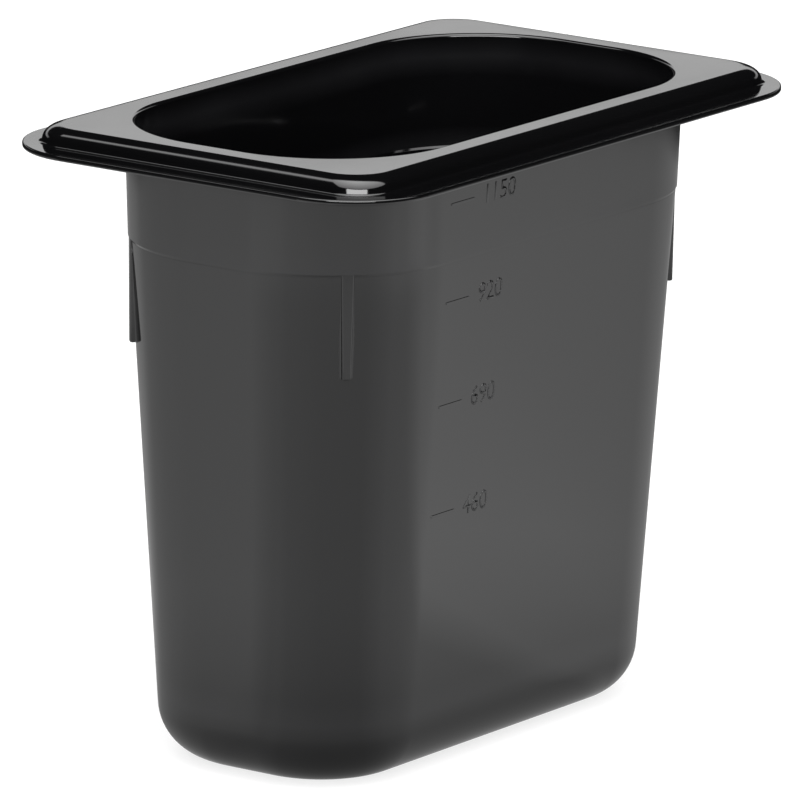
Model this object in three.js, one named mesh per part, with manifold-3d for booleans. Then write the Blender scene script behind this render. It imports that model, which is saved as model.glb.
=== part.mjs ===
/**
 * Ninth-size deli food pan, about 150 mm deep, for butcher and deli counters.
 *
 * The pan is one injection moulding in black polycarbonate, so it has no moving parts. It is
 * built as one solid: a loft of rounded rectangles that runs from the inside floor, up the
 * inside wall, over the rim and down the outside wall to the base, with four stacking ribs
 * and the graduation marks joined on. Level planes then share it into its named regions.
 *
 * Millimetres, +Z up, with the origin at the middle of the base. +X is the pan's long way.
 */
import * as THREE from 'three';
import { mergeVertices } from 'three/addons/utils/BufferGeometryUtils.js';
import Module from 'manifold-3d';

const degree = Math.PI / 180;

// Overall size
const overallLength = 176;
const overallWidth = 108;
const overallHeight = 148.5;
const wallThickness = 2.4;

// Rim: a thin lip, a raised bead inside it, and the level land on top of the bead
const lipReach = 5.95;
const lipThickness = 1.3;
const lipCornerRadius = 21;
const lipEdgeRadius = 0.4;
const beadRise = 4;
const beadCornerRadius = 9;
const beadShoulderRadius = 3.3;
const beadFootRadius = 0.6;
const beadSideDraft = 10 * degree;
const landWidth = 4.5;
const rimSkin = 2.2;
const mouthCornerRadius = 32.2;
const mouthEdgeRadius = 0.8;
const leastCornerStraight = 2;

// Walls: an upright band above the stacking shoulder, a tapered tub below it
const shoulderDepth = 26.5;
const shoulderHeight = 0.8;
const shoulderCornerStep = 0.7;
const bandDraft = 2 * degree;
const tubDraft = 3.85 * degree;
const floorThickness = 2.4;
const floorEdgeRadius = 13.1;

// Stacking ribs, one at each corner below the shoulder
const ribLength = 24.3;
const ribTopWidth = 3;
const ribFootWidth = 2;
const ribEdgeDraft = 0.5 * degree;
const ribSink = wallThickness / 2;

// Graduation marks on both long sides: one for each measure (cubic millimetres) of contents,
// from the second measure up to the rim
const measureVolume = 230000;
const firstMarkedMeasure = 2;
const markRimClearance = 3;
const markLength = 9;
const markHeight = 0.6;
const markProud = 0.3;
const markSink = 0.5;
const markFromCorner = 2;
const volumeSlice = 0.25;

// Smoothness of the loft
const cornerSteps = 10;
const coveSteps = 6;
const shoulderSteps = 5;
const smallRoundSteps = 3;

// Levels
const rimBaseLevel = overallHeight - beadRise - lipThickness;
const lipTopLevel = overallHeight - beadRise;
const shoulderLevel = overallHeight - shoulderDepth;
const shoulderFootLevel = shoulderLevel - shoulderHeight;
const floorJoinLevel = floorEdgeRadius + floorThickness;

// Outlines that the others are set out from
const beadSideHeight = beadRise
  - beadShoulderRadius * (1 - Math.sin(beadSideDraft))
  - beadFootRadius * (1 - Math.sin(beadSideDraft));
const beadRun = (beadShoulderRadius + beadFootRadius) * Math.cos(beadSideDraft)
  + beadSideHeight * Math.tan(beadSideDraft);
const lipEdge = {
  halfX: overallLength / 2,
  halfY: overallWidth / 2,
  radius: lipCornerRadius,
};
const beadTop = {
  halfX: lipEdge.halfX - lipReach - beadRun,
  halfY: lipEdge.halfY - lipReach - beadRun,
  radius: beadCornerRadius,
  fixedCorners: true,
};
const mouthHalfX = beadTop.halfX - landWidth;
const mouthHalfY = beadTop.halfY - landWidth;
const mouthRadius = Math.min(mouthCornerRadius, mouthHalfY - leastCornerStraight);
const bandCore = {
  halfX: mouthHalfX - mouthRadius,
  halfY: mouthHalfY - mouthRadius,
  radius: 0,
};
const tubCore = {
  halfX: bandCore.halfX - shoulderCornerStep,
  halfY: bandCore.halfY - shoulderCornerStep,
  radius: 0,
};

/**
 * The rounded rectangle `distance` outside `outline`, at a level. Its corners grow rounder with
 * the distance, except round the bead, where they keep their radius.
 */
function section(outline, distance, level) {
  return {
    halfX: outline.halfX + distance,
    halfY: outline.halfY + distance,
    radius: outline.radius + (outline.fixedCorners ? 0 : distance),
    level,
  };
}

/** Sections along an arc in the upright plane: across is outwards, up is +Z. */
function arcSections(outline, across, up, radius, start, end, steps) {
  const arc = new THREE.EllipseCurve(across, up, radius, radius, start, end, end < start);
  return arc.getPoints(steps).map((point) => section(outline, point.x, point.y));
}

/** How far the outside of the upright band stands out from the band's core at a level. */
function bandOffset(level) {
  const top = mouthRadius - mouthEdgeRadius + wallThickness;
  return top - (overallHeight - mouthEdgeRadius - level) * Math.tan(bandDraft);
}

/** How far the outside of the tapered tub stands out from the tub's core at a level. */
function tubOffset(level) {
  const top = bandOffset(shoulderLevel) + shoulderCornerStep;
  return top - (shoulderLevel - level) * Math.tan(tubDraft);
}

/** The cove between the floor and the wall, outside (inset 0) or inside (inset by the wall). */
function cove(inset, floorLevel) {
  const radius = floorEdgeRadius - inset;
  const level = floorLevel + radius;
  const across = tubOffset(level) - inset - radius / Math.cos(tubDraft);
  return { radius, level, across };
}

function insideSections() {
  const { radius, level, across } = cove(wallThickness, floorThickness);
  const wall = wallThickness;
  return [
    ...arcSections(tubCore, across, level, radius, -90 * degree, -tubDraft, coveSteps),
    section(tubCore, tubOffset(floorJoinLevel) - wall, floorJoinLevel),
    section(tubCore, tubOffset(shoulderFootLevel) - wall, shoulderFootLevel),
    section(bandCore, bandOffset(shoulderLevel) - wall, shoulderLevel),
    section(bandCore, bandOffset(rimBaseLevel) - wall, rimBaseLevel),
  ];
}

function rimTopSections() {
  const mouthLevel = overallHeight - mouthEdgeRadius;
  const shoulderCentre = overallHeight - beadShoulderRadius;
  const footAcross = beadRun;
  const footCentre = lipTopLevel + beadFootRadius;
  return [
    ...arcSections(
      bandCore, mouthRadius, mouthLevel, mouthEdgeRadius, 180 * degree, 90 * degree, smallRoundSteps,
    ),
    ...arcSections(
      beadTop, 0, shoulderCentre, beadShoulderRadius, 90 * degree, beadSideDraft, shoulderSteps,
    ),
    ...arcSections(
      beadTop, footAcross, footCentre, beadFootRadius,
      180 * degree + beadSideDraft, 270 * degree, smallRoundSteps,
    ),
  ];
}

function lipSections() {
  const upper = lipTopLevel - lipEdgeRadius;
  const lower = rimBaseLevel + lipEdgeRadius;
  const across = -lipEdgeRadius;
  return [
    ...arcSections(lipEdge, across, upper, lipEdgeRadius, 90 * degree, 0, smallRoundSteps),
    ...arcSections(lipEdge, across, lower, lipEdgeRadius, 0, -90 * degree, smallRoundSteps),
  ];
}

/** Under the rim, a channel runs round between the bead and the wall. */
function channelSections() {
  const ceiling = overallHeight - rimSkin;
  const beadInside = beadShoulderRadius - rimSkin;
  return [
    section(beadTop, beadInside, rimBaseLevel),
    section(beadTop, beadInside, ceiling),
    section(bandCore, bandOffset(ceiling), ceiling),
  ];
}

function outsideSections() {
  const { radius, level, across } = cove(0, 0);
  return [
    section(bandCore, bandOffset(rimBaseLevel), rimBaseLevel),
    section(bandCore, bandOffset(shoulderLevel), shoulderLevel),
    section(tubCore, tubOffset(shoulderFootLevel), shoulderFootLevel),
    section(tubCore, tubOffset(floorJoinLevel), floorJoinLevel),
    ...arcSections(tubCore, across, level, radius, -tubDraft, -90 * degree, coveSteps),
  ];
}

/** The outline's points, anticlockwise from above, the same number for every section. */
function ringPoints({ halfX, halfY, radius, level }) {
  const corners = [[1, 1], [-1, 1], [-1, -1], [1, -1]];
  return corners.flatMap(([sideX, sideY], quarter) => {
    const start = quarter * 90 * degree;
    const centreX = sideX * (halfX - radius);
    const centreY = sideY * (halfY - radius);
    const arc = new THREE.EllipseCurve(
      centreX, centreY, radius, radius, start, start + 90 * degree,
    );
    return arc.getPoints(cornerSteps).map((point) => [point.x, point.y, level]);
  });
}

/** A closed skin through the sections in order, with a flat cap on the first and the last. */
function loftGeometry(sections) {
  const rings = sections.map(ringPoints);
  const count = rings[0].length;
  const last = rings.length - 1;
  const centres = [[0, 0, sections[0].level], [0, 0, sections[last].level]];
  const positions = [...rings.flat(), ...centres].flat();
  const firstCentre = rings.length * count;
  const indices = [];
  for (let point = 0; point < count; point += 1) {
    const next = (point + 1) % count;
    for (let ring = 0; ring < last; ring += 1) {
      const here = ring * count;
      const above = here + count;
      indices.push(here + point, above + point, here + next);
      indices.push(here + next, above + point, above + next);
    }
    indices.push(firstCentre, point, next);
    indices.push(firstCentre + 1, last * count + next, last * count + point);
  }
  const geometry = new THREE.BufferGeometry();
  geometry.setAttribute('position', new THREE.Float32BufferAttribute(positions, 3));
  geometry.setIndex(indices);
  return geometry;
}

/** Where the outside of the wall meets a corner's diagonal, seen from above. */
function cornerSpot(core, offset, sideX, sideY) {
  return new THREE.Vector2(
    sideX * (core.halfX + offset * Math.SQRT1_2),
    sideY * (core.halfY + offset * Math.SQRT1_2),
  );
}

/** A web below the shoulder whose outer edge stays upright while the wall tapers away from it. */
function ribGeometry(sideX, sideY) {
  const footLevel = shoulderLevel - ribLength;
  const edge = cornerSpot(bandCore, bandOffset(shoulderLevel), sideX, sideY);
  const wallAtTop = cornerSpot(tubCore, tubOffset(shoulderLevel), sideX, sideY);
  const wallAtFoot = cornerSpot(tubCore, tubOffset(footLevel), sideX, sideY);
  const footInner = -edge.distanceTo(wallAtFoot) - ribSink;
  const footOuter = -ribLength * Math.tan(ribEdgeDraft);
  const topInner = -edge.distanceTo(wallAtTop) - ribSink;
  const outline = (halfWidth, inner, outer, z) => [
    [inner, -halfWidth, z], [outer, -halfWidth, z], [outer, halfWidth, z], [inner, halfWidth, z],
  ];
  const corners = [
    ...outline(ribFootWidth / 2, footInner, footOuter, footLevel),
    ...outline(ribTopWidth / 2, topInner, 0, shoulderLevel),
  ];
  const faces = [
    [3, 2, 1, 0], [4, 5, 6, 7], [0, 1, 5, 4], [1, 2, 6, 5], [2, 3, 7, 6], [3, 0, 4, 7],
  ];
  const indices = faces.flatMap(([a, b, c, d]) => [a, b, c, a, c, d]);
  const geometry = new THREE.BufferGeometry();
  geometry.setAttribute('position', new THREE.Float32BufferAttribute(corners.flat(), 3));
  geometry.setIndex(indices);
  geometry.rotateZ(Math.atan2(sideY, sideX));
  geometry.translate(edge.x, edge.y, 0);
  return geometry;
}

function insideSectionAt(level) {
  const { radius, level: coveLevel, across } = cove(wallThickness, floorThickness);
  if (level > shoulderLevel) return section(bandCore, bandOffset(level) - wallThickness, level);
  if (level > coveLevel) return section(tubCore, tubOffset(level) - wallThickness, level);
  const drop = coveLevel - level;
  return section(tubCore, across + Math.sqrt(radius * radius - drop * drop), level);
}

/** The level that the contents reach when their volume in cubic millimetres is in the pan. */
function levelForVolume(volume) {
  let level = floorThickness + volumeSlice / 2;
  let held = 0;
  while (held < volume) {
    const { halfX, halfY, radius } = insideSectionAt(level);
    held += (4 * halfX * halfY - (4 - Math.PI) * radius * radius) * volumeSlice;
    level += volumeSlice;
  }
  return level - volumeSlice / 2;
}

/** A short raised bar on a long side's flat, near the left-hand corner as that side is faced. */
function markGeometry(level, side) {
  const inBand = level > shoulderLevel;
  const core = inBand ? bandCore : tubCore;
  const offset = inBand ? bandOffset(level) : tubOffset(level);
  const draft = inBand ? bandDraft : tubDraft;
  const geometry = new THREE.BoxGeometry(markLength, markProud + markSink, markHeight);
  geometry.translate(0, (markSink - markProud) / 2, 0);
  geometry.rotateX(draft);
  geometry.translate(
    -bandCore.halfX + markFromCorner + markLength / 2, -(core.halfY + offset), level,
  );
  if (side > 0) geometry.rotateZ(Math.PI);
  return geometry;
}

const wasm = await Module();
wasm.setup();

function toSolid(geometry) {
  const bare = geometry.clone();
  bare.deleteAttribute('normal');
  bare.deleteAttribute('uv');
  const merged = mergeVertices(bare, 1e-5);
  return new wasm.Manifold(new wasm.Mesh({
    numProp: 3,
    vertProperties: new Float32Array(merged.attributes.position.array),
    triVerts: new Uint32Array(merged.index.array),
  }));
}

function toGeometry(solid) {
  const { vertProperties, triVerts } = solid.getMesh();
  const geometry = new THREE.BufferGeometry();
  geometry.setAttribute('position', new THREE.Float32BufferAttribute(vertProperties, 3));
  geometry.setIndex([...triVerts]);
  geometry.computeVertexNormals();
  return geometry;
}

/** The levels of the marks that fit below the rim. */
function markLevels() {
  const levels = [];
  let measures = firstMarkedMeasure;
  let level = levelForVolume(measures * measureVolume);
  while (level < rimBaseLevel - markRimClearance) {
    levels.push(level);
    measures += 1;
    level = levelForVolume(measures * measureVolume);
  }
  return levels;
}

/** The whole moulding as one solid. */
function mouldedPan() {
  const sections = [
    ...insideSections(),
    ...rimTopSections(),
    ...lipSections(),
    ...channelSections(),
    ...outsideSections(),
  ];
  const additions = [];
  for (const sideY of [-1, 1]) {
    for (const sideX of [-1, 1]) additions.push(ribGeometry(sideX, sideY));
    for (const level of markLevels()) additions.push(markGeometry(level, sideY));
  }
  return additions.reduce(
    (solid, geometry) => solid.add(toSolid(geometry)),
    toSolid(loftGeometry(sections)),
  );
}

/** The part of the moulding between two levels. */
function regionBetween(solid, low, high) {
  const slab = new THREE.BoxGeometry(overallLength * 2, overallWidth * 2, high - low);
  slab.translate(0, 0, (low + high) / 2);
  return solid.intersect(toSolid(slab));
}

const blackPolycarbonate = { color: 0x121316, roughness: 0.16, metalness: 0 };
const beyond = overallHeight;
const regions = [
  { name: 'base_and_cove', low: -beyond, high: floorJoinLevel },
  { name: 'tapered_tub', low: floorJoinLevel, high: shoulderLevel },
  { name: 'stacking_band', low: shoulderLevel, high: rimBaseLevel },
  { name: 'rim_flange', low: rimBaseLevel, high: overallHeight + beyond },
];

const pan = new THREE.Group();
const moulding = mouldedPan();
for (const { name, low, high } of regions) {
  const geometry = toGeometry(regionBetween(moulding, low, high));
  const mesh = new THREE.Mesh(geometry, new THREE.MeshStandardMaterial(blackPolycarbonate));
  mesh.name = name;
  pan.add(mesh);
}

export default pan;
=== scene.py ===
import math
from collections import namedtuple

import bmesh
import bpy
from mathutils import Matrix, Vector


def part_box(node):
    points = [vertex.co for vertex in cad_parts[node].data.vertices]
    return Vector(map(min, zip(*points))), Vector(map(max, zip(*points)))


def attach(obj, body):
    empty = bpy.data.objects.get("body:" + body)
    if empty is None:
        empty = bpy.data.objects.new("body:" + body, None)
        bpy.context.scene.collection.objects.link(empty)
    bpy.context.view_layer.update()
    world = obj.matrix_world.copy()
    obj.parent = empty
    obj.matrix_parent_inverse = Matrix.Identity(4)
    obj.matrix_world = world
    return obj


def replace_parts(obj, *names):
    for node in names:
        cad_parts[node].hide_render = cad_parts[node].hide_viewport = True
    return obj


# The looks of a ninth-size deli food pan: one injection moulding in glossy black polycarbonate,
# on a pale studio floor. Everything is in metres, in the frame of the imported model.

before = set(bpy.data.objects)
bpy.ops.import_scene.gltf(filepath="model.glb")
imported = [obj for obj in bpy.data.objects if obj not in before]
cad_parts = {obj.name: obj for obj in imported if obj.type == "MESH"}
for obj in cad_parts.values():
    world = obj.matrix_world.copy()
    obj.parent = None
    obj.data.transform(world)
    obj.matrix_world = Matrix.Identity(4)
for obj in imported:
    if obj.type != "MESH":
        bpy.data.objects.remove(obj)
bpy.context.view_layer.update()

MM = 0.001
DEGREE = math.radians(1)

# Levels and overall sizes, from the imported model
RIM_LOW, RIM_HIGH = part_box("rim_flange")
TOP = RIM_HIGH.z
LIP_UNDERSIDE = RIM_LOW.z
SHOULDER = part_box("stacking_band")[0].z
FLOOR_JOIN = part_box("base_and_cove")[1].z

# Rim: a thin lip, a raised bead inside it, and the level land on top of the bead
LIP_REACH = 5.95 * MM
LIP_THICKNESS = 1.3 * MM
LIP_CORNER_RADIUS = 21 * MM
LIP_EDGE_RADIUS = 0.4 * MM
BEAD_RISE = TOP - LIP_UNDERSIDE - LIP_THICKNESS
BEAD_CORNER_RADIUS = 9 * MM
BEAD_SHOULDER_RADIUS = 3.3 * MM
BEAD_FOOT_RADIUS = 0.6 * MM
BEAD_SIDE_DRAFT = 10 * DEGREE
LAND_WIDTH = 4.5 * MM
RIM_SKIN = 2.2 * MM
MOUTH_CORNER_RADIUS = 32.2 * MM
MOUTH_EDGE_RADIUS = 0.8 * MM
CHANNEL_FILLET = 0.5 * MM
CHANNEL_LIP_RADIUS = 0.3 * MM

# Walls and floor
WALL = 2.4 * MM
FLOOR = 2.4 * MM
BAND_DRAFT = 2 * DEGREE
TUB_DRAFT = 3.85 * DEGREE
FLOOR_EDGE_RADIUS = 13.1 * MM
SHOULDER_HEIGHT = 0.8 * MM
SHOULDER_CORNER_STEP = 0.7 * MM
SHOULDER_SLOPE_SHARE = 0.67  # of the shoulder's height, from the top, that its slope takes up
GATE_RADIUS = 4 * MM
GATE_DEPTH = 0.4 * MM
GATE_EASED_DEPTH = GATE_DEPTH * 0.8
GATE_NUB_RADIUS = 1.1 * MM
GATE_NUB_TIP_RADIUS = GATE_NUB_RADIUS * 0.8
GATE_NUB_HEIGHT = GATE_DEPTH / 2

# Stacking ribs
RIB_LENGTH = 24.3 * MM
RIB_TOP_WIDTH = 3 * MM
RIB_FOOT_WIDTH = 2 * MM
RIB_EDGE_DRAFT = 0.5 * DEGREE
RIB_SINK = WALL / 2  # how far its inner end is hidden in the wall
RIB_NOSE_RADIUS = 0.45 * MM
RIB_ROOT_RADIUS = 0.6 * MM
RIB_ROOT_SHARE = 0.9  # of how far the rib stands out, at most, for the radius at its root
RIB_FOOT_RADIUS = 0.35 * MM
RIB_NOSE_INSET = 0.04 * MM
RIB_TOP_SINK = 1 * MM  # how far its top is hidden in the upright band

# Graduation marks and their numerals, in millilitres, on both long sides
MARKS = {"460": 62.15 * MM, "690": 87.9 * MM, "920": 112.15 * MM, "1150": 135.15 * MM}
MARK_LENGTH = 9 * MM
MARK_HEIGHT = 0.6 * MM
MARK_END_RADIUS = MARK_HEIGHT / 2 * 0.9
MARK_PROUD = 0.12 * MM
MARK_SINK = 0.5 * MM
MARK_FROM_CORNER = 2 * MM
MARK_EDGE_RADIUS = 0.1 * MM
NUMERAL_GAP = 3.5 * MM
NUMERAL_SIZE = 6.4 * MM
NUMERAL_PROUD = 0.05 * MM

# Smoothness of the meshes
CORNER_STEPS = 40
LONG_SIDE_STEPS = 20
SHORT_SIDE_STEPS = 6
WALL_STEP = 6 * MM
COVE_STEPS = 18
SHOULDER_STEPS = 12
FILLET_STEPS = 6
RIB_BODY_STEPS = 12
NUMERAL_CURVE_STEPS = 6
WELD_DISTANCE = MM * 1e-4
DISC_STEPS = 96
BACKDROP_STEPS_ROUND = 48
BACKDROP_STEPS_UP = 24

# The plastic: noise scales are in waves to the metre, and haze goes from 0 to 1
Noise = namedtuple("Noise", "scale detail roughness")
HAZE = Noise(scale=22.0, detail=4.0, roughness=0.6)
STREAKS = Noise(scale=420.0, detail=3.0, roughness=0.55)
STREAK_STRETCH = 0.03
PEEL = Noise(scale=900.0, detail=2.0, roughness=0.5)
BODY_DARK = (0.0015, 0.0015, 0.0017, 1)
BODY_PALE = (0.0022, 0.0022, 0.0024, 1)
WORN_COLOUR = (0.012, 0.012, 0.013, 1)
WORN_POINTINESS = (0.53, 0.62)
WORN_DULLNESS = 0.2
HAZE_RANGE = (0.3, 0.7)
ROUGHNESS_RANGE = (0.06, 0.11)
FLOW_STRENGTH = 0.25
FLOW_HEIGHT = 0.01 * MM
PEEL_STRENGTH = 0.3
PEEL_HEIGHT = 0.005 * MM
REFRACTIVE_INDEX = 1.585

# The camera: a long lens that looks slightly down on the pan's front left corner
CAMERA_AZIMUTH = -54.489 * DEGREE
CAMERA_ELEVATION = 13.561 * DEGREE
CAMERA_ROLL = 0.734 * DEGREE
CAMERA_DISTANCE = 2.6462
CAMERA_AIM = Vector((-0.3 * MM, 0.62 * MM, 76.5 * MM))
CAMERA_LENS = 517.1
SENSOR_WIDTH = 36

# The floor and the backdrop that only the camera sees
WHITE = (1, 1, 1, 1)
FLOOR_DROP = 0.2 * MM
FLOOR_ALBEDO = 0.25
FLOOR_GLOW = 0.78
BACKDROP_RADIUS = 60
BACKDROP_GLOW = 1.0
CAMERA_REACH = BACKDROP_RADIUS * 3

# The table that the pan's sides mirror, which glows with painted light and shade instead of being lit,
# and how far from the tub's core the pan's foot stands
TABLE_DROP = 1 * MM
TABLE_RADIUS = 2
PAN_FOOT = 24 * MM
# Painted light and shade in the table's glow by its direction from the pan: degrees from the camera's
# side, positive to the right, and brightness
TABLE_PAINTED_LIGHT_ROUND = (
    (-180, 0.3), (-145, 0.37), (-125, 0.55), (-107, 0.73), (-90, 0.92), (-71, 1.07), (-56, 1.15),
    (-40, 1.0), (-28, 0.87), (0, 0.78), (33, 0.755), (52, 0.9), (72, 1.18), (96, 1.03), (109, 0.85),
    (123, 0.69), (150, 0.37), (180, 0.3),
)
# and by its distance from the pan's foot, in millimetres: painted shade of the pan near its foot, and a
# dimming far out
TABLE_PAINTED_SHADE_OUTWARDS = (
    (0, 0.4), (10, 0.46), (17, 0.52), (30, 0.65), (41, 0.71), (56, 0.78), (72, 0.86), (92, 0.93),
    (120, 1.0), (530, 1.0), (575, 0.2), (600, 0.05),
)
# How much brighter it is far out in front, as a painted pool of light
FAR_FRONT_PAINTED_LIGHT = ((-180, 0), (-60, 0), (-35, 0.25), (60, 0.3), (85, 0), (180, 0))
FAR_FRONT_START = 320 * MM
FAR_FRONT_END = 360 * MM

# The softbox overhead. Its sides are straight lines in the plane one unit overhead, and its foot is
# an elevation in degrees, where it is dim. It is bright straight overhead.
PANEL_BACK_START = -0.26
PANEL_BACK_END = -0.12
PANEL_LEFT = -1.05
PANEL_LEFT_FLARE = 0.4
PANEL_LEFT_SOFT = 0.1
PANEL_RIGHT = 3.9
PANEL_RIGHT_FLARE = 1.6
PANEL_RIGHT_SOFT = 0.2
PANEL_FOOT = 29.5
PANEL_FOOT_SOFT = 1.5
PANEL_DIM = 2.1
PANEL_BRIGHT = 5.8
LEAST_HEIGHT = 0.01  # stands in for the height of directions near the horizon or below it

# Patches of light low in the sky, in degrees from the camera's side, positive to its right
Patch = namedtuple("Patch", "azimuth half_width side_soft low high edge_soft strength")
FRONT_STRIP = Patch(azimuth=0, half_width=30, side_soft=2, low=8, high=26, edge_soft=0.5, strength=9.4)
BACK_WALL = Patch(azimuth=180, half_width=60, side_soft=6, low=10.5, high=18, edge_soft=0.8, strength=1.1)
AMBIENT = 0.01

Outline = namedtuple("Outline", "half_x half_y radius fixed_corners", defaults=(False,))


def grown(outline, distance):
    """The rounded rectangle `distance` outside an outline. Its corners grow rounder with the
    distance, except round the bead, where they keep their radius."""
    radius = outline.radius + (0 if outline.fixed_corners else distance)
    return Outline(outline.half_x + distance, outline.half_y + distance, radius)


def between(first, second, share):
    """The rounded rectangle part of the way from one outline to another."""
    return Outline(*(a + (b - a) * share for a, b in zip(first[:3], second[:3])))


# Outlines that the others are set out from
BEAD_SIDE_HEIGHT = BEAD_RISE - (BEAD_SHOULDER_RADIUS + BEAD_FOOT_RADIUS) * (1 - math.sin(BEAD_SIDE_DRAFT))
BEAD_RUN = (
    (BEAD_SHOULDER_RADIUS + BEAD_FOOT_RADIUS) * math.cos(BEAD_SIDE_DRAFT)
    + BEAD_SIDE_HEIGHT * math.tan(BEAD_SIDE_DRAFT)
)
LIP_EDGE = Outline(RIM_HIGH.x, RIM_HIGH.y, LIP_CORNER_RADIUS)
BEAD_TOP = Outline(
    LIP_EDGE.half_x - LIP_REACH - BEAD_RUN,
    LIP_EDGE.half_y - LIP_REACH - BEAD_RUN,
    BEAD_CORNER_RADIUS,
    fixed_corners=True,
)
BAND_CORE = Outline(
    BEAD_TOP.half_x - LAND_WIDTH - MOUTH_CORNER_RADIUS,
    BEAD_TOP.half_y - LAND_WIDTH - MOUTH_CORNER_RADIUS,
    0,
)
TUB_CORE = Outline(BAND_CORE.half_x - SHOULDER_CORNER_STEP, BAND_CORE.half_y - SHOULDER_CORNER_STEP, 0)


def band_offset(level):
    """How far the outside of the upright band stands out from the band's core at a level."""
    top = MOUTH_CORNER_RADIUS - MOUTH_EDGE_RADIUS + WALL
    return top - (TOP - MOUTH_EDGE_RADIUS - level) * math.tan(BAND_DRAFT)


def tub_offset(level):
    """How far the outside of the tapered tub stands out from the tub's core at a level."""
    top = band_offset(SHOULDER) + SHOULDER_CORNER_STEP
    return top - (SHOULDER - level) * math.tan(TUB_DRAFT)


# Sections of the moulding: a section is an outline and its level, and a list of them is lofted


def arc(outline, across, up, radius, start, end, steps=FILLET_STEPS):
    """Sections along an arc in the upright plane: across is outwards from the outline, up is +Z."""
    sections = []
    for step in range(steps + 1):
        angle = (start + (end - start) * step / steps) * DEGREE
        offset = across + radius * math.cos(angle)
        sections.append((grown(outline, offset), up + radius * math.sin(angle)))
    return sections


def wall(outline, offset_at, inset, start, end):
    """Sections up or down a wall whose distance from the outline changes evenly."""
    steps = max(1, round(abs(end - start) / WALL_STEP))
    levels = [start + (end - start) * step / steps for step in range(steps + 1)]
    return [(grown(outline, offset_at(level) - inset), level) for level in levels]


def cove(inset, floor_level):
    """Radius, centre level and centre offset of the cove between the floor and the wall."""
    radius = FLOOR_EDGE_RADIUS - inset
    level = floor_level + radius
    return radius, level, tub_offset(level) - inset - radius / math.cos(TUB_DRAFT)


def shoulder(inset, downwards):
    """Sections over the small step in the corners between the upright band and the tapered tub."""
    upper = grown(BAND_CORE, band_offset(SHOULDER) - inset)
    lower = grown(TUB_CORE, tub_offset(SHOULDER - SHOULDER_HEIGHT) - inset)
    sections = []
    for step in range(SHOULDER_STEPS + 1):
        share = step / SHOULDER_STEPS
        sloped = min(share / SHOULDER_SLOPE_SHARE, 1)
        sections.append((between(upper, lower, sloped), SHOULDER - SHOULDER_HEIGHT * share))
    return sections if downwards else sections[::-1]


def inside_base():
    """Up the inside from the edge of the flat floor to the level where the base ends."""
    radius, level, across = cove(WALL, FLOOR)
    end = -TUB_DRAFT / DEGREE
    return arc(TUB_CORE, across, level, radius, -90, end, COVE_STEPS) + [
        (grown(TUB_CORE, tub_offset(FLOOR_JOIN) - WALL), FLOOR_JOIN)
    ]


def outside_base():
    """Down the outside from the level where the base ends to the edge of the flat underside."""
    radius, level, across = cove(0, 0)
    start = -TUB_DRAFT / DEGREE
    return [(grown(TUB_CORE, tub_offset(FLOOR_JOIN)), FLOOR_JOIN)] + arc(
        TUB_CORE, across, level, radius, start, -90, COVE_STEPS
    )


def tub_sections():
    """Up the inside of the tapered tub and down its outside."""
    shoulder_foot = SHOULDER - SHOULDER_HEIGHT
    inside = wall(TUB_CORE, tub_offset, WALL, FLOOR_JOIN, shoulder_foot) + shoulder(WALL, False)[1:]
    outside = shoulder(0, True) + wall(TUB_CORE, tub_offset, 0, shoulder_foot, FLOOR_JOIN)[1:]
    return inside + outside


def band_sections():
    """Up the inside of the upright band and down its outside."""
    inside = wall(BAND_CORE, band_offset, WALL, SHOULDER, LIP_UNDERSIDE)
    outside = wall(BAND_CORE, band_offset, 0, LIP_UNDERSIDE, SHOULDER)
    return inside + outside


def rim_sections():
    """Over the rim from the inside wall to the outside wall, with the open channel under the bead."""
    draft = BEAD_SIDE_DRAFT / DEGREE
    mouth_start = 180 - BAND_DRAFT / DEGREE
    foot_level = TOP - BEAD_RISE + BEAD_FOOT_RADIUS
    lip_upper = TOP - BEAD_RISE - LIP_EDGE_RADIUS
    lip_lower = LIP_UNDERSIDE + LIP_EDGE_RADIUS
    ceiling = TOP - RIM_SKIN
    channel = BEAD_SHOULDER_RADIUS - RIM_SKIN
    sections = [(grown(BAND_CORE, band_offset(LIP_UNDERSIDE) - WALL), LIP_UNDERSIDE)]
    sections += arc(
        BAND_CORE, MOUTH_CORNER_RADIUS, TOP - MOUTH_EDGE_RADIUS, MOUTH_EDGE_RADIUS, mouth_start, 90
    )
    sections += arc(
        BEAD_TOP, 0, TOP - BEAD_SHOULDER_RADIUS, BEAD_SHOULDER_RADIUS, 90, draft, SHOULDER_STEPS
    )
    sections += arc(BEAD_TOP, BEAD_RUN, foot_level, BEAD_FOOT_RADIUS, 180 + draft, 270)
    sections += arc(LIP_EDGE, -LIP_EDGE_RADIUS, lip_upper, LIP_EDGE_RADIUS, 90, 0)
    sections += arc(LIP_EDGE, -LIP_EDGE_RADIUS, lip_lower, LIP_EDGE_RADIUS, 0, -90)
    sections += arc(
        BEAD_TOP,
        channel + CHANNEL_LIP_RADIUS,
        LIP_UNDERSIDE + CHANNEL_LIP_RADIUS,
        CHANNEL_LIP_RADIUS,
        270,
        180,
    )
    sections += arc(
        BEAD_TOP, channel - CHANNEL_FILLET, ceiling - CHANNEL_FILLET, CHANNEL_FILLET, 0, 90
    )
    sections += arc(
        BAND_CORE,
        band_offset(ceiling) + CHANNEL_FILLET,
        ceiling - CHANNEL_FILLET,
        CHANNEL_FILLET,
        90,
        180,
    )
    sections.append((grown(BAND_CORE, band_offset(LIP_UNDERSIDE)), LIP_UNDERSIDE))
    return sections


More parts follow.
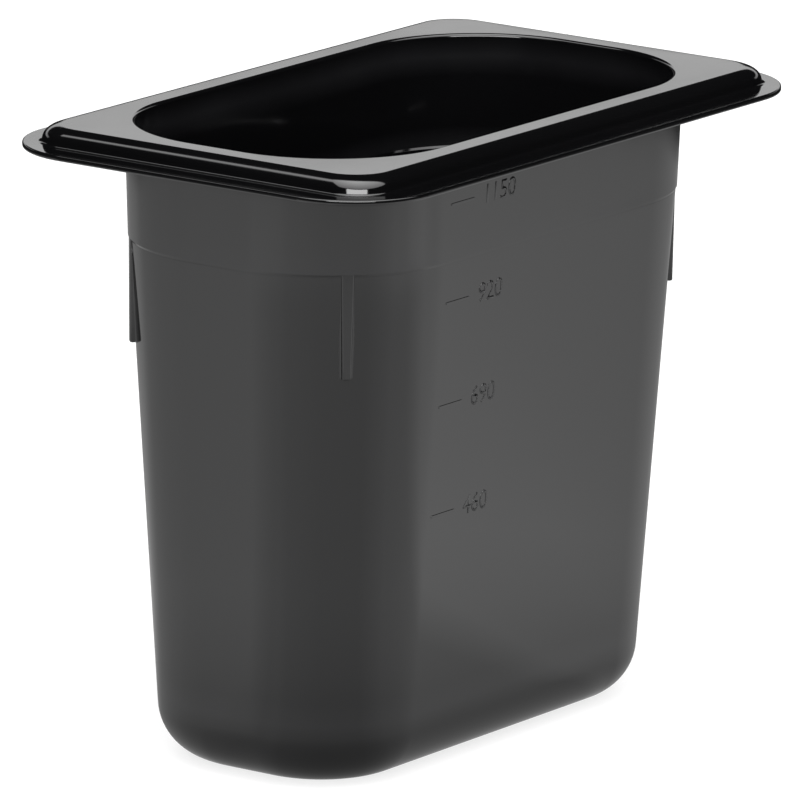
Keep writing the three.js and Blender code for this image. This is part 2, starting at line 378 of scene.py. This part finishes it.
def corner_arcs(outline, level, steps):
    """The points round each of an outline's four corners, anticlockwise from above."""
    arcs = []
    for quarter, (side_x, side_y) in enumerate(((1, 1), (-1, 1), (-1, -1), (1, -1))):
        centre_x = side_x * (outline.half_x - outline.radius)
        centre_y = side_y * (outline.half_y - outline.radius)
        points = []
        for step in range(steps + 1):
            angle = (quarter + step / steps) * math.pi / 2
            x = centre_x + outline.radius * math.cos(angle)
            y = centre_y + outline.radius * math.sin(angle)
            points.append(Vector((x, y, level)))
        arcs.append(points)
    return arcs


def bar_ring(outline, level):
    """The points of a small outline, with none along its sides."""
    return sum(corner_arcs(outline, level, FILLET_STEPS), [])


def ring(outline, level):
    """The points of a large outline, with more along its sides, the same number for every outline."""
    arcs = corner_arcs(outline, level, CORNER_STEPS)
    points = []
    for quarter, corner in enumerate(arcs):
        following = arcs[(quarter + 1) % 4][0]
        steps = SHORT_SIDE_STEPS if quarter % 2 else LONG_SIDE_STEPS
        points += corner
        points += [corner[-1].lerp(following, step / steps) for step in range(1, steps)]
    return points


def circle(like, radius, level):
    """A circle with one point in the direction of each point of the ring `like`."""
    points = []
    for point in like:
        direction = Vector((point.x, point.y, 0)).normalized()
        points.append(direction * radius + Vector((0, 0, level)))
    return points


# Mesh building


def finished_piece(name, shape, material):
    """Makes an object from a bmesh, with its normals out, and hangs it on the pan's only body."""
    bmesh.ops.recalc_face_normals(shape, faces=shape.faces)
    for face in shape.faces:
        face.smooth = True
    mesh = bpy.data.meshes.new(name)
    shape.to_mesh(mesh)
    shape.free()
    mesh.materials.append(material)
    piece = bpy.data.objects.new(name, mesh)
    bpy.context.scene.collection.objects.link(piece)
    normals = piece.modifiers.new("weighted_normals", "WEIGHTED_NORMAL")
    normals.keep_sharp = True
    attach(piece, "root")
    return piece


def joined_rings(rings, closed):
    """A bmesh through rings of points. A closed one runs back to its first ring, where the callers mark
    the edges sharp.
    An open one ends in flat caps."""
    shape = bmesh.new()
    loops = [[shape.verts.new(point) for point in points] for points in rings]
    count = len(rings[0])
    pairs = list(zip(loops, loops[1:]))
    if closed:
        pairs.append((loops[-1], loops[0]))
    for first, second in pairs:
        for index in range(count):
            following = (index + 1) % count
            shape.faces.new((first[index], first[following], second[following], second[index]))
    if not closed:
        shape.faces.new(loops[0])
        shape.faces.new(loops[-1][::-1])
    return shape, loops


def sharpen(shape, loops):
    """Marks the edges round each loop of vertices as sharp."""
    for loop in loops:
        for index, vertex in enumerate(loop):
            edge = shape.edges.get((vertex, loop[(index + 1) % len(loop)]))
            edge.smooth = False


def ring_shaped_region(name, sections, sharp_at, material):
    """A region of the moulding that the well runs right through."""
    shape, loops = joined_rings([ring(*section) for section in sections], closed=True)
    sharpen(shape, [loops[index] for index in sharp_at])
    return finished_piece(name, shape, material)


def wall_region(name, sections, material):
    """A region with as many sections up the inside as down the outside, and a level cut at each end."""
    half = len(sections) // 2
    return ring_shaped_region(name, sections, (0, half - 1, half, -1), material)


def floor_region(name, material):
    """The base and the cove, with the moulding gate's small dished mark under the middle."""
    inside = [ring(*section) for section in inside_base()]
    outside = [ring(*section) for section in outside_base()]
    like = outside[-1]
    gate = [
        circle(like, GATE_RADIUS, 0),
        circle(like, GATE_RADIUS - GATE_DEPTH / 2, GATE_EASED_DEPTH),
        circle(like, GATE_RADIUS - GATE_DEPTH, GATE_DEPTH),
        circle(like, GATE_NUB_RADIUS, GATE_DEPTH),
        circle(like, GATE_NUB_TIP_RADIUS, GATE_DEPTH - GATE_NUB_HEIGHT),
    ]
    shape, loops = joined_rings(inside + outside + gate, closed=False)
    sharpen(shape, [loops[len(inside) - 1], loops[len(inside)]])
    return finished_piece(name, shape, material)


def corner_spot(core, offset, side_x, side_y):
    """Where the outside of the wall meets a corner's diagonal, seen from above."""
    reach = offset * math.sqrt(0.5)
    return Vector((side_x * (core.half_x + reach), side_y * (core.half_y + reach), 0))


def rib_section(half_width, nose, root, level):
    """Points round a rib: a rounded nose, straight sides, and a fillet where it leaves the wall.
    x points out of the corner, and the rib's inner end is hidden in the wall."""
    side = []
    for step in range(FILLET_STEPS + 1):
        angle = math.pi / 2 * step / FILLET_STEPS
        side.append((
            nose - RIB_NOSE_RADIUS * (1 - math.cos(angle)),
            half_width - RIB_NOSE_RADIUS * (1 - math.sin(angle)),
        ))
    fillet = min(RIB_ROOT_RADIUS, max(side[-1][0] - root, 0) * RIB_ROOT_SHARE)
    for step in range(FILLET_STEPS + 1):
        angle = math.pi / 2 * step / FILLET_STEPS
        side.append((
            root + fillet * (1 - math.sin(angle)),
            half_width + fillet * (1 - math.cos(angle)),
        ))
    side.append((root - RIB_SINK, half_width + fillet))
    mirrored = [(x, -y) for x, y in reversed(side)]
    return [Vector((x, y, level)) for x, y in side + mirrored]


def stacking_rib(name, side_x, side_y, material):
    """A web below the shoulder, whose outer edge stays upright while the wall tapers away."""
    edge = corner_spot(BAND_CORE, band_offset(SHOULDER), side_x, side_y)
    foot = SHOULDER - RIB_LENGTH
    levels = []
    for step in range(FILLET_STEPS + 1):
        angle = math.pi / 2 * step / FILLET_STEPS
        level = foot + RIB_FOOT_RADIUS * (1 - math.cos(angle))
        levels.append((level, RIB_FOOT_RADIUS * (1 - math.sin(angle))))
    start = levels[-1][0]
    for step in range(1, RIB_BODY_STEPS + 1):
        levels.append((start + (SHOULDER - start) * step / RIB_BODY_STEPS, 0))
    rings = []
    for level, inset in levels:
        share = (level - foot) / RIB_LENGTH
        half_width = (RIB_FOOT_WIDTH + (RIB_TOP_WIDTH - RIB_FOOT_WIDTH) * share) / 2 - inset
        spot = corner_spot(TUB_CORE, tub_offset(level), side_x, side_y)
        nose = -RIB_NOSE_INSET - (SHOULDER - level) * math.tan(RIB_EDGE_DRAFT) - inset
        rings.append(rib_section(half_width, nose, -(edge - spot).length, level))
    rings.append([point + Vector((0, 0, RIB_TOP_SINK)) for point in rings[-1]])
    shape, _ = joined_rings(rings, closed=False)
    turn = Matrix.Rotation(math.atan2(side_y, side_x), 4, "Z")
    bmesh.ops.transform(shape, matrix=Matrix.Translation(edge) @ turn, verts=shape.verts)
    return finished_piece(name, shape, material)


def wall_matrix(level, from_corner, side):
    """Puts what is drawn in the XY plane onto a long side's wall, as read by someone who faces it."""
    in_band = level > SHOULDER
    core = BAND_CORE if in_band else TUB_CORE
    offset = band_offset(level) if in_band else tub_offset(level)
    draft = BAND_DRAFT if in_band else TUB_DRAFT
    spot = Vector((-BAND_CORE.half_x + from_corner, -(core.half_y + offset), level))
    half_turn = Matrix.Rotation(math.pi if side > 0 else 0, 4, "Z")
    lean = Matrix.Rotation(math.pi / 2 + draft, 4, "X")
    return half_turn @ Matrix.Translation(spot) @ lean


def mark_bar(name, level, side, material):
    """A short raised bar with rounded ends and edges."""
    outline = Outline(MARK_LENGTH / 2, MARK_HEIGHT / 2, MARK_END_RADIUS)
    edge = MARK_EDGE_RADIUS
    sections = [(outline, -MARK_SINK)] + arc(outline, -edge, MARK_PROUD - edge, edge, 0, 90)
    shape, _ = joined_rings([bar_ring(*section) for section in sections], closed=False)
    middle = MARK_FROM_CORNER + MARK_LENGTH / 2
    bmesh.ops.transform(shape, matrix=wall_matrix(level, middle, side), verts=shape.verts)
    return finished_piece(name, shape, material)


def numeral(name, text, level, side, material):
    """A raised number beside a mark, drawn with the built-in font and turned into a mesh."""
    lettering = bpy.data.curves.new(name, "FONT")
    lettering.body = text
    lettering.size = NUMERAL_SIZE
    lettering.align_y = "CENTER"
    lettering.extrude = NUMERAL_PROUD
    lettering.resolution_u = NUMERAL_CURVE_STEPS
    drawn = bpy.data.objects.new(name, lettering)
    mesh = bpy.data.meshes.new_from_object(drawn)
    bpy.data.objects.remove(drawn)
    shape = bmesh.new()
    shape.from_mesh(mesh)
    bpy.data.meshes.remove(mesh)
    bmesh.ops.remove_doubles(shape, verts=shape.verts, dist=WELD_DISTANCE)
    start = MARK_FROM_CORNER + MARK_LENGTH + NUMERAL_GAP
    bmesh.ops.transform(shape, matrix=wall_matrix(level, start, side), verts=shape.verts)
    return finished_piece(name, shape, material)


# Node building


def node(tree, kind, settings=None, **inputs):
    """Adds a node, sets its properties and inputs, and links the inputs that are sockets. An input is
    given by its name, or by its number as i0, i1 and so on."""
    made = tree.nodes.new(kind)
    for key, value in (settings or {}).items():
        setattr(made, key, value)
    for key, value in inputs.items():
        socket = made.inputs[int(key[1:])] if key[0] == "i" and key[1:].isdigit() else made.inputs[key]
        if isinstance(value, bpy.types.NodeSocket):
            tree.links.new(value, socket)
        else:
            socket.default_value = value
    return made


def maths(tree, operation, *values):
    """The result of a maths node on numbers or sockets."""
    inputs = {f"i{index}": value for index, value in enumerate(values)}
    return node(tree, "ShaderNodeMath", {"operation": operation}, **inputs).outputs[0]


def vector_maths(tree, operation, first, second):
    """A vector maths node on two vectors or sockets."""
    return node(tree, "ShaderNodeVectorMath", {"operation": operation}, i0=first, i1=second)


def product(tree, *factors):
    """The product of several sockets or numbers."""
    total = factors[0]
    for factor in factors[1:]:
        total = maths(tree, "MULTIPLY", total, factor)
    return total


def ramp(tree, value, start, end, low=0.0, high=1.0, smooth=True):
    """Goes from low to high while the value goes from start to end."""
    limits = {"Value": value, "From Min": start, "From Max": end, "To Min": low, "To Max": high}
    kind = "SMOOTHSTEP" if smooth else "LINEAR"
    return node(tree, "ShaderNodeMapRange", {"interpolation_type": kind}, **limits).outputs[0]


def curve(tree, value, stops, unit):
    """A brightness that follows a list of (position, brightness) stops, positions in a unit."""
    start, end = stops[0][0], stops[-1][0]
    share = ramp(tree, value, start * unit, end * unit, smooth=False)
    made = node(tree, "ShaderNodeValToRGB", Fac=share)
    elements = made.color_ramp.elements
    for position, _ in stops[1:-1]:
        elements.new((position - start) / (end - start))
    for element, (_, brightness) in zip(elements, stops):
        element.color = (brightness, brightness, brightness, 1)
    return made.outputs[0]


def noise(tree, place, kind):
    """One of the named noises, at a place."""
    sizes = {"Scale": kind.scale, "Detail": kind.detail, "Roughness": kind.roughness}
    return node(tree, "ShaderNodeTexNoise", Vector=place, **sizes).outputs["Fac"]


def mix_colour(tree, factor, first, second):
    """The colour part of the way from one to another. A mix node's colours are its inputs 6 and 7."""
    made = node(tree, "ShaderNodeMix", {"data_type": "RGBA"}, Factor=factor, i6=first, i7=second)
    return made.outputs[2]


def bump(tree, height, strength, distance, **normal):
    """The normal of a surface with a relief on it, over another relief's normal if that is given."""
    sizes = {"Height": height, "Strength": strength, "Distance": distance}
    return node(tree, "ShaderNodeBump", **sizes, **normal).outputs[0]


# Material


def black_polycarbonate():
    """Glossy black plastic: faint flow lines down the draw of the mould, a fine orange peel,
    handling haze that varies the gloss, and edges worn a little paler and duller."""
    material = bpy.data.materials.new("black_polycarbonate")
    material.use_nodes = True
    tree = material.node_tree
    shader = tree.nodes["Principled BSDF"]
    place = node(tree, "ShaderNodeTexCoord").outputs["Object"]
    haze = noise(tree, place, HAZE)
    drawn = node(tree, "ShaderNodeMapping", Vector=place, Scale=(1.0, 1.0, STREAK_STRETCH))
    streaks = noise(tree, drawn.outputs[0], STREAKS)
    peel = noise(tree, place, PEEL)

    pointiness = node(tree, "ShaderNodeNewGeometry").outputs["Pointiness"]
    edges = ramp(tree, pointiness, *WORN_POINTINESS, smooth=False)
    wear = maths(tree, "MULTIPLY", edges, haze)
    body = mix_colour(tree, haze, BODY_DARK, BODY_PALE)
    tree.links.new(mix_colour(tree, wear, body, WORN_COLOUR), shader.inputs["Base Color"])

    gloss = ramp(tree, haze, *HAZE_RANGE, *ROUGHNESS_RANGE, smooth=False)
    roughness = maths(tree, "MULTIPLY_ADD", wear, WORN_DULLNESS, gloss)
    tree.links.new(roughness, shader.inputs["Roughness"])

    flow = bump(tree, streaks, FLOW_STRENGTH, FLOW_HEIGHT)
    skin = bump(tree, peel, PEEL_STRENGTH, PEEL_HEIGHT, Normal=flow)
    tree.links.new(skin, shader.inputs["Normal"])
    shader.inputs["IOR"].default_value = REFRACTIVE_INDEX
    return material


# Studio


def empty_material(name):
    """A material without any nodes yet."""
    material = bpy.data.materials.new(name)
    material.use_nodes = True
    material.node_tree.nodes.clear()
    return material


def shining(material, strength):
    """The material, made to give off white light. The strength is a number or a socket."""
    tree = material.node_tree
    glow = node(tree, "ShaderNodeEmission", Color=WHITE, Strength=strength)
    output = node(tree, "ShaderNodeOutputMaterial")
    tree.links.new(glow.outputs[0], output.inputs["Surface"])
    return material


def floor_material(name, albedo, glow):
    """A matt pale surface that also glows, so that shadows on it stay light."""
    material = bpy.data.materials.new(name)
    material.use_nodes = True
    shader = material.node_tree.nodes["Principled BSDF"]
    shader.inputs["Base Color"].default_value = (albedo, albedo, albedo, 1)
    shader.inputs["Roughness"].default_value = 1
    shader.inputs["Specular IOR Level"].default_value = 0
    shader.inputs["Emission Color"].default_value = WHITE
    shader.inputs["Emission Strength"].default_value = glow
    return material


def stage_object(name, shape, material):
    """Makes an object from a bmesh that is part of the studio, not of the pan."""
    mesh = bpy.data.meshes.new(name)
    shape.to_mesh(mesh)
    shape.free()
    mesh.materials.append(material)
    made = bpy.data.objects.new(name, mesh)
    bpy.context.scene.collection.objects.link(made)
    return made


def disc(name, radius, level, material):
    """A level disc round the pan."""
    shape = bmesh.new()
    bmesh.ops.create_circle(shape, cap_ends=True, segments=DISC_STEPS, radius=radius)
    bmesh.ops.translate(shape, verts=shape.verts, vec=(0, 0, level))
    return stage_object(name, shape, material)


def camera_only(made):
    """Hides an object from everything but the camera."""
    made.visible_diffuse = False
    made.visible_glossy = False
    made.visible_transmission = False
    made.visible_shadow = False


def camera_side():
    """The level directions towards the camera and to its right."""
    towards = Vector((math.sin(CAMERA_AZIMUTH), -math.cos(CAMERA_AZIMUTH), 0))
    right = Vector((math.cos(CAMERA_AZIMUTH), math.sin(CAMERA_AZIMUTH), 0))
    return towards, right


def table_painted_glow():
    """A table that glows instead of being lit, with painted light and shade: less by the pan's foot, as
    painted shade of the pan, less behind it, and hardly far away.
    """
    material = empty_material("table_glow_painted_shade")
    tree = material.node_tree
    place = node(tree, "ShaderNodeTexCoord").outputs["Object"]
    core = Vector((TUB_CORE.half_x, TUB_CORE.half_y, 1))
    nearest = vector_maths(tree, "MINIMUM", vector_maths(tree, "MAXIMUM", place, -core).outputs[0], core)
    away = vector_maths(tree, "SUBTRACT", place, nearest.outputs[0])
    distance = node(tree, "ShaderNodeVectorMath", {"operation": "LENGTH"}, i0=away.outputs[0])
    beyond_foot = maths(tree, "SUBTRACT", distance.outputs["Value"], PAN_FOOT)
    towards, right = camera_side()
    along = vector_maths(tree, "DOT_PRODUCT", away.outputs[0], towards).outputs["Value"]
    across = vector_maths(tree, "DOT_PRODUCT", away.outputs[0], right).outputs["Value"]
    angle = maths(tree, "ARCTAN2", across, along)
    painted_far_front_light = product(
        tree,
        curve(tree, angle, FAR_FRONT_PAINTED_LIGHT, DEGREE),
        ramp(tree, beyond_foot, FAR_FRONT_START, FAR_FRONT_END),
    )
    # The table's glow: painted light and shade by direction, and painted shade of the pan by its foot.
    strength = product(
        tree,
        curve(tree, angle, TABLE_PAINTED_LIGHT_ROUND, DEGREE),
        curve(tree, beyond_foot, TABLE_PAINTED_SHADE_OUTWARDS, MM),
        maths(tree, "ADD", painted_far_front_light, 1.0),
    )
    return shining(material, strength)


def studio_floor():
    """The floor that the camera sees, the glowing table with painted light and shade that the pan's sides
    mirror, and a far backdrop.
    """
    matt_white = floor_material("pale_floor", FLOOR_ALBEDO, FLOOR_GLOW)
    camera_only(disc("floor", BACKDROP_RADIUS, -FLOOR_DROP, matt_white))
    # The hidden table glows with painted light and shade, which the pan's sides mirror.
    table = disc("table", TABLE_RADIUS, -TABLE_DROP, table_painted_glow())
    table.visible_camera = False
    shape = bmesh.new()
    bmesh.ops.create_uvsphere(
        shape,
        u_segments=BACKDROP_STEPS_ROUND,
        v_segments=BACKDROP_STEPS_UP,
        radius=BACKDROP_RADIUS,
    )
    white_glow = shining(empty_material("pale_backdrop"), BACKDROP_GLOW)
    camera_only(stage_object("backdrop", shape, white_glow))


def wall_patch(tree, direction, patch):
    """A soft-edged patch of light low in the sky."""
    towards, right = camera_side()
    azimuth = patch.azimuth * DEGREE
    middle = towards * math.cos(azimuth) + right * math.sin(azimuth)
    split = node(tree, "ShaderNodeSeparateXYZ", Vector=direction)
    flat = node(tree, "ShaderNodeCombineXYZ", X=split.outputs[0], Y=split.outputs[1])
    level = node(tree, "ShaderNodeVectorMath", {"operation": "NORMALIZE"}, i0=flat.outputs[0])
    facing = vector_maths(tree, "DOT_PRODUCT", level.outputs[0], middle)
    angle = maths(tree, "ARCCOSINE", facing.outputs["Value"])
    height = maths(tree, "ARCSINE", split.outputs[2])

    def soft_edge(value, edge, soft):
        """Comes up from 0 to 1 over an edge. A negative softness makes it go down instead."""
        return ramp(tree, value, (edge - soft) * DEGREE, (edge + soft) * DEGREE)

    return product(
        tree,
        soft_edge(angle, patch.half_width, -patch.side_soft),
        soft_edge(height, patch.low, patch.edge_soft),
        soft_edge(height, patch.high, -patch.edge_soft),
        patch.strength,
    )


def overhead_panel(tree, direction):
    """A wide softbox that slants from overhead down towards the camera's side, and widens downwards."""
    towards, right = camera_side()
    up = vector_maths(tree, "DOT_PRODUCT", direction, Vector((0, 0, 1))).outputs["Value"]
    height = maths(tree, "MAXIMUM", up, LEAST_HEIGHT)
    along = vector_maths(tree, "DOT_PRODUCT", direction, towards).outputs["Value"]
    across = vector_maths(tree, "DOT_PRODUCT", direction, right).outputs["Value"]
    forward = maths(tree, "DIVIDE", along, height)
    sideways = maths(tree, "DIVIDE", across, height)
    from_left = maths(tree, "MULTIPLY_ADD", forward, PANEL_LEFT_FLARE, sideways)
    from_right = maths(tree, "MULTIPLY_ADD", forward, -PANEL_RIGHT_FLARE, sideways)
    elevation = maths(tree, "ARCSINE", up)
    foot_start = (PANEL_FOOT - PANEL_FOOT_SOFT) * DEGREE
    foot_end = (PANEL_FOOT + PANEL_FOOT_SOFT) * DEGREE
    return product(
        tree,
        ramp(tree, forward, PANEL_BACK_START, PANEL_BACK_END),
        ramp(tree, from_left, PANEL_LEFT - PANEL_LEFT_SOFT, PANEL_LEFT + PANEL_LEFT_SOFT),
        ramp(tree, from_right, PANEL_RIGHT + PANEL_RIGHT_SOFT, PANEL_RIGHT - PANEL_RIGHT_SOFT),
        ramp(tree, elevation, foot_start, foot_end),
        ramp(tree, elevation, PANEL_FOOT * DEGREE, math.pi / 2, PANEL_DIM, PANEL_BRIGHT, smooth=False),
    )


def studio_sky():
    """A slanted softbox over the front, a strip light low in front, a pale wall low down behind."""
    world = bpy.data.worlds.new("studio")
    bpy.context.scene.world = world
    world.use_nodes = True
    tree = world.node_tree
    direction = node(tree, "ShaderNodeTexCoord").outputs["Generated"]
    lights = [
        overhead_panel(tree, direction),
        wall_patch(tree, direction, FRONT_STRIP),
        wall_patch(tree, direction, BACK_WALL),
    ]
    total = AMBIENT
    for light in lights:
        total = maths(tree, "ADD", light, total)
    background = tree.nodes["Background"]
    background.inputs["Color"].default_value = WHITE
    tree.links.new(total, background.inputs["Strength"])


def studio_camera():
    """A long lens that looks slightly down on the pan's front left corner."""
    azimuth, elevation, roll = CAMERA_AZIMUTH, CAMERA_ELEVATION, CAMERA_ROLL
    back = Vector((
        math.sin(azimuth) * math.cos(elevation),
        -math.cos(azimuth) * math.cos(elevation),
        math.sin(elevation),
    ))
    level_right = Vector((math.cos(azimuth), math.sin(azimuth), 0))
    level_up = back.cross(level_right)
    right = level_right * math.cos(roll) + level_up * math.sin(roll)
    up = back.cross(right)
    camera = bpy.data.objects.new("camera", bpy.data.cameras.new("camera"))
    camera.data.lens = CAMERA_LENS
    camera.data.sensor_width = SENSOR_WIDTH
    camera.data.clip_end = CAMERA_REACH
    rotation = Matrix((right, up, back)).transposed().to_4x4()
    camera.matrix_world = Matrix.Translation(CAMERA_AIM + back * CAMERA_DISTANCE) @ rotation
    bpy.context.scene.collection.objects.link(camera)
    bpy.context.scene.camera = camera
    bpy.context.scene.view_settings.view_transform = "Standard"


def pan():
    """The four regions of the moulding, its ribs and its marks."""
    plastic = black_polycarbonate()
    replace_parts(floor_region("pan_base_and_cove", plastic), "base_and_cove")
    tub = wall_region("pan_tapered_tub", tub_sections(), plastic)
    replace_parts(tub, "tapered_tub")
    band = wall_region("pan_stacking_band", band_sections(), plastic)
    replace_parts(band, "stacking_band")
    rim = ring_shaped_region("pan_rim_flange", rim_sections(), (0, -1), plastic)
    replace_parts(rim, "rim_flange")
    for side_x, end in ((-1, "left"), (1, "right")):
        for side_y, face in ((-1, "front"), (1, "back")):
            stacking_rib(f"stacking_rib_{face}_{end}", side_x, side_y, plastic)
    for side, face in ((-1, "front"), (1, "back")):
        for text, level in MARKS.items():
            mark_bar(f"mark_{face}_{text}", level, side, plastic)
            numeral(f"numeral_{face}_{text}", text, level, side, plastic)


studio_camera()
studio_sky()
studio_floor()
pan()
